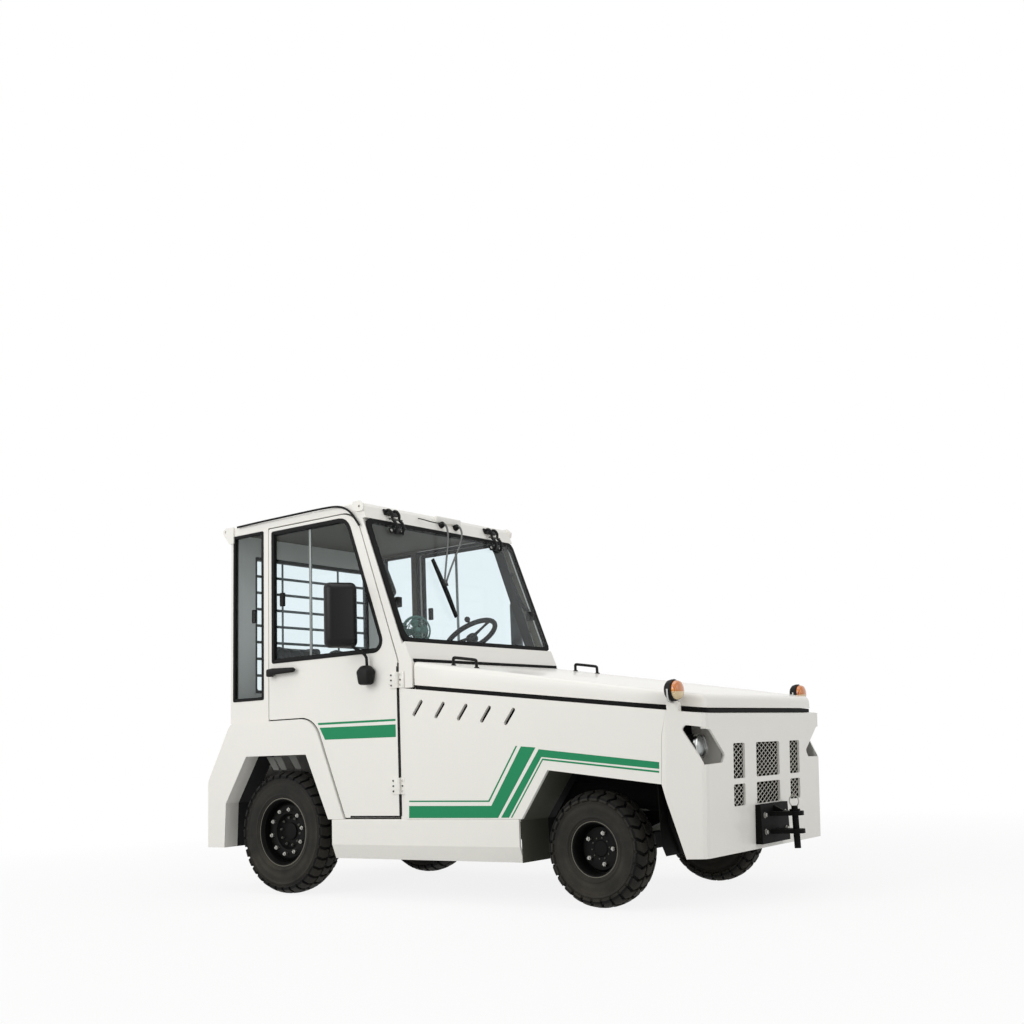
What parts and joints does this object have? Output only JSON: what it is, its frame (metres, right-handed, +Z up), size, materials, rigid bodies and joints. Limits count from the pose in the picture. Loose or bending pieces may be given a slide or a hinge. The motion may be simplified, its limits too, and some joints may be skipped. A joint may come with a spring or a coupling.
{
  "type": "airport baggage tow tractor",
  "caption": "Four-wheeled airport tow tractor with an enclosed cab, tilting bonnet, opening doors, steered front wheels and pin hitches front and rear.",
  "frame": {"origin": "on the ground under the middle of the vehicle", "axes": "+X forward, +Y to the vehicle's left, +Z up"},
  "size_m": [3.994, 2.0148, 2.3726],
  "materials": {
    "white_paint": "gloss",
    "chassis_black": "satin",
    "wheel_black": "satin",
    "wheelhouse_grey": "matte",
    "tyre": "matte",
    "seal_rubber": "matte",
    "black_plastic": "matte",
    "seat_vinyl": "satin",
    "glass": "clear",
    "engine_iron": "matte",
    "steel": "satin",
    "grille_steel": "satin",
    "lamp_clear": "clear",
    "lamp_amber": "gloss",
    "lamp_red": "gloss"
  },
  "bodies": {
    "vehicle": {"bonnet_seal": "seal_rubber", "cab_floor": "wheelhouse_grey", "cab_frame": "white_paint", "cab_glass": "glass", "chassis_frame": "chassis_black", "corner_lamps": "lamp_amber", "dashboard": "black_plastic", "engine_block": "engine_iron", "front_axle": "chassis_black", "front_hitch": "chassis_black", "front_mask": "white_paint", "front_panel_left": "white_paint", "front_panel_right": "white_paint", "front_wheelhouses": "wheelhouse_grey", "grille_mesh": "grille_steel", "headlamp_pockets": "wheelhouse_grey", "headlamps": "lamp_clear", "hitch_pins": "steel", "leaf_springs": "chassis_black", "rear_axle": "chassis_black", "rear_fender_left": "white_paint", "rear_fender_right": "white_paint", "rear_guard": "chassis_black", "rear_hitch": "chassis_black", "rear_lamps": "lamp_red", "rear_panel": "white_paint", "roof": "white_paint", "scuttle": "white_paint", "seat_bases": "seat_vinyl", "seat_left": "seat_vinyl", "seat_right": "seat_vinyl", "sills": "white_paint", "steering_column": "black_plastic", "tank_and_battery_box": "chassis_black", "windscreen_frame": "seal_rubber", "windscreen_glass": "glass"},
    "wheel_rear_right": {"tyre_rear_right": "tyre", "rim_rear_right": "wheel_black"},
    "wheel_rear_left": {"tyre_rear_left": "tyre", "rim_rear_left": "wheel_black"},
    "wheel_front_right": {"tyre_front_right": "tyre", "rim_front_right": "wheel_black"},
    "wheel_front_left": {"tyre_front_left": "tyre", "rim_front_left": "wheel_black"},
    "knuckle_right": {"knuckle_right": "chassis_black"},
    "knuckle_left": {"knuckle_left": "chassis_black"},
    "tie_rod": {"tie_rod": "chassis_black"},
    "door_right": {"door_right": "white_paint", "door_glass_right": "glass", "mirror_right": "black_plastic"},
    "door_left": {"door_left": "white_paint", "door_glass_left": "glass", "mirror_left": "black_plastic"},
    "bonnet": {"bonnet_lid": "white_paint"},
    "steering_wheel": {"steering_wheel": "black_plastic"}
  },
  "joints": [
    {"name": "wheel_rear_right_spin", "type": "hinge", "parent": "vehicle", "child": "wheel_rear_right", "pos_m": [-1.138, -0.659, 0.374], "axis": [0, 1, 0], "continuous": true},
    {"name": "wheel_rear_left_spin", "type": "hinge", "parent": "vehicle", "child": "wheel_rear_left", "pos_m": [-1.138, 0.659, 0.374], "axis": [0, 1, 0], "continuous": true},
    {"name": "steer_right", "type": "hinge", "parent": "vehicle", "child": "knuckle_right", "pos_m": [1.149, -0.5, 0.298], "axis": [0, 0, 1], "range_deg": [-32, 32]},
    {"name": "wheel_front_right_spin", "type": "hinge", "parent": "knuckle_right", "child": "wheel_front_right", "pos_m": [1.149, -0.637, 0.298], "axis": [0, 1, 0], "continuous": true},
    {"name": "steer_left", "type": "hinge", "parent": "vehicle", "child": "knuckle_left", "pos_m": [1.149, 0.5, 0.298], "axis": [0, 0, 1], "range_deg": [-32, 32]},
    {"name": "wheel_front_left_spin", "type": "hinge", "parent": "knuckle_left", "child": "wheel_front_left", "pos_m": [1.149, 0.637, 0.298], "axis": [0, 1, 0], "continuous": true},
    {"name": "tie_rod_pivot", "type": "hinge", "parent": "knuckle_right", "child": "tie_rod", "pos_m": [1.009, -0.5, 0.242], "axis": [0, 0, 1], "range_deg": [-32, 32]},
    {"name": "steering_wheel_turn", "type": "hinge", "parent": "vehicle", "child": "steering_wheel", "pos_m": [-0.478, 0.38, 1.59], "axis": [-0.5299, 0, 0.848], "range_deg": [-512, 512]},
    {"name": "door_right_hinge", "type": "hinge", "parent": "vehicle", "child": "door_right", "pos_m": [-0.137, -0.77, 0.945], "axis": [0, 0, 1], "range_deg": [0, 75]},
    {"name": "door_left_hinge", "type": "hinge", "parent": "vehicle", "child": "door_left", "pos_m": [-0.137, 0.77, 0.945], "axis": [0, 0, -1], "range_deg": [0, 75]},
    {"name": "bonnet_hinge", "type": "hinge", "parent": "vehicle", "child": "bonnet", "pos_m": [1.819, 0, 0.984], "axis": [0, 1, 0], "range_deg": [0, 50]}
  ],
  "couplings": [
    {"joint": "steer_left", "follows": "steer_right", "ratio": 1},
    {"joint": "tie_rod_pivot", "follows": "steer_right", "ratio": -1},
    {"joint": "steering_wheel_turn", "follows": "steer_right", "ratio": 16}
  ]
}
